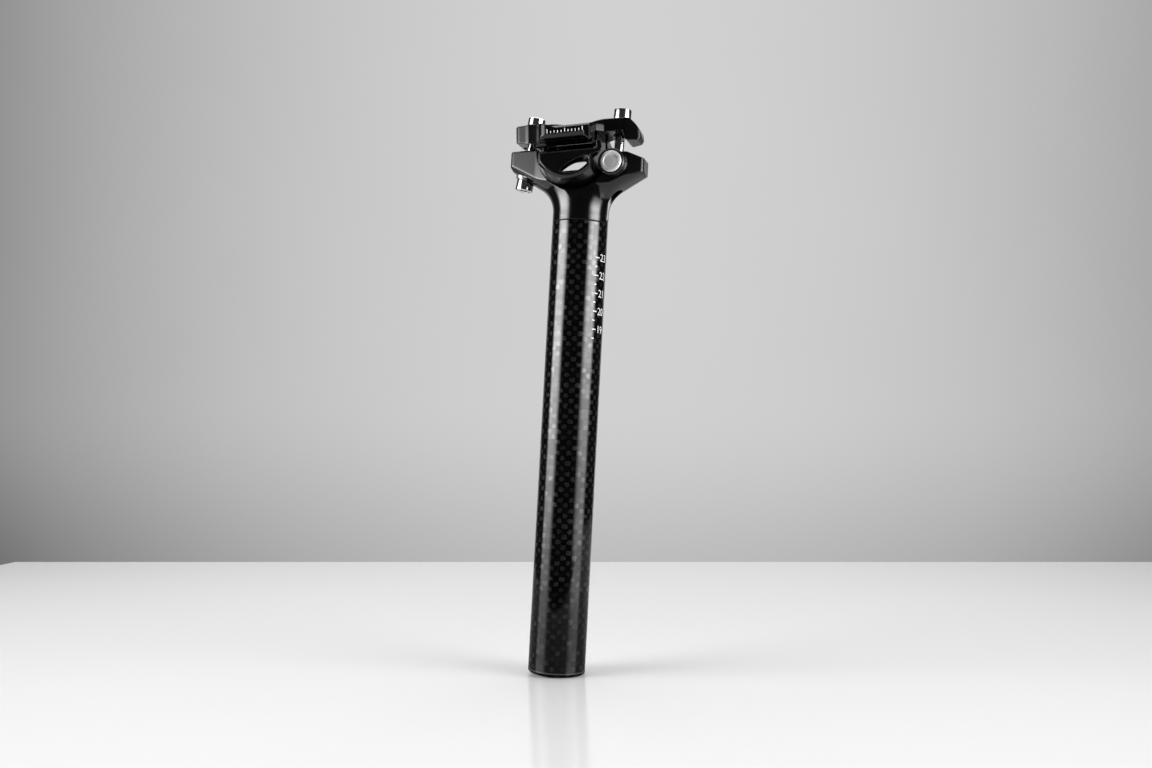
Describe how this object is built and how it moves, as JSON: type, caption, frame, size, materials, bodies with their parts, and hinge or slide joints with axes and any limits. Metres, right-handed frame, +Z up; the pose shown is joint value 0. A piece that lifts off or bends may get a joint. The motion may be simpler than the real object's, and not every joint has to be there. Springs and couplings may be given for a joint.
{
  "type": "bicycle seatpost",
  "caption": "Carbon-tube bicycle seatpost with a flared alloy head and a two-bolt rocking rail clamp that tilts the saddle",
  "frame": {"origin": "on the tube's axis at its square-cut foot", "axes": "+Z runs up the post, +X points to the rear of the bicycle, -Y is the bicycle's left side"},
  "size_m": [0.0775, 0.054, 0.3156],
  "materials": {
    "carbon_weave": "woven carbon under a gloss clear coat",
    "black_alloy": "polished black anodised alloy",
    "polished_steel": "bright polished",
    "polished_cap": "bright turned",
    "plain_steel": "turned",
    "black_bush": "satin black"
  },
  "bodies": {
    "post": {"carbon_tube": "carbon_weave", "head": "black_alloy", "front_ear_cup": "plain_steel", "barrel_bush_left": "black_bush", "barrel_bush_right": "black_bush"},
    "rail_clamp": {"lower_cradle": "black_alloy", "upper_clamp": "black_alloy", "front_clamp_cup": "plain_steel", "rear_clamp_cup": "plain_steel"},
    "front_screw": {"front_bolt": "polished_steel", "front_dome_washer": "plain_steel"},
    "front_round_nut": {"front_nut": "polished_steel"},
    "barrel_nut": {"rear_barrel_nut": "plain_steel", "barrel_cap_left": "polished_cap", "barrel_cap_right": "polished_cap"},
    "rear_screw": {"rear_bolt": "polished_steel", "rear_dome_washer": "plain_steel"}
  },
  "joints": [
    {"name": "saddle_tilt", "type": "hinge", "parent": "post", "child": "rail_clamp", "pos_m": [-0.0025, 0, 0.29], "axis": [0, -1, 0], "range_deg": [-8, 4]},
    {"name": "front_bolt_swing", "type": "hinge", "parent": "post", "child": "front_screw", "pos_m": [-0.0346, 0, 0.2715], "axis": [0, -1, 0], "range_deg": [-3.6, 1.8]},
    {"name": "front_nut_travel", "type": "slide", "parent": "front_screw", "child": "front_round_nut", "axis": [0.1372, 0, 0.9905], "range_m": [-0.0021, 0.0042]},
    {"name": "barrel_turn", "type": "hinge", "parent": "post", "child": "barrel_nut", "pos_m": [0.0199, 0, 0.2823], "axis": [0, -1, 0], "range_deg": [-6.5, 3.3]},
    {"name": "rear_bolt_travel", "type": "slide", "parent": "barrel_nut", "child": "rear_screw", "axis": [0.0506, 0, 0.9987], "range_m": [-0.0032, 0.0016]}
  ],
  "couplings": [
    {"joint": "front_bolt_swing", "follows": "saddle_tilt", "ratio": 0.4233},
    {"joint": "front_nut_travel", "follows": "saddle_tilt", "m_per_rad": -0.02922},
    {"joint": "barrel_turn", "follows": "saddle_tilt", "ratio": 0.7852},
    {"joint": "rear_bolt_travel", "follows": "saddle_tilt", "m_per_rad": 0.02227}
  ]
}
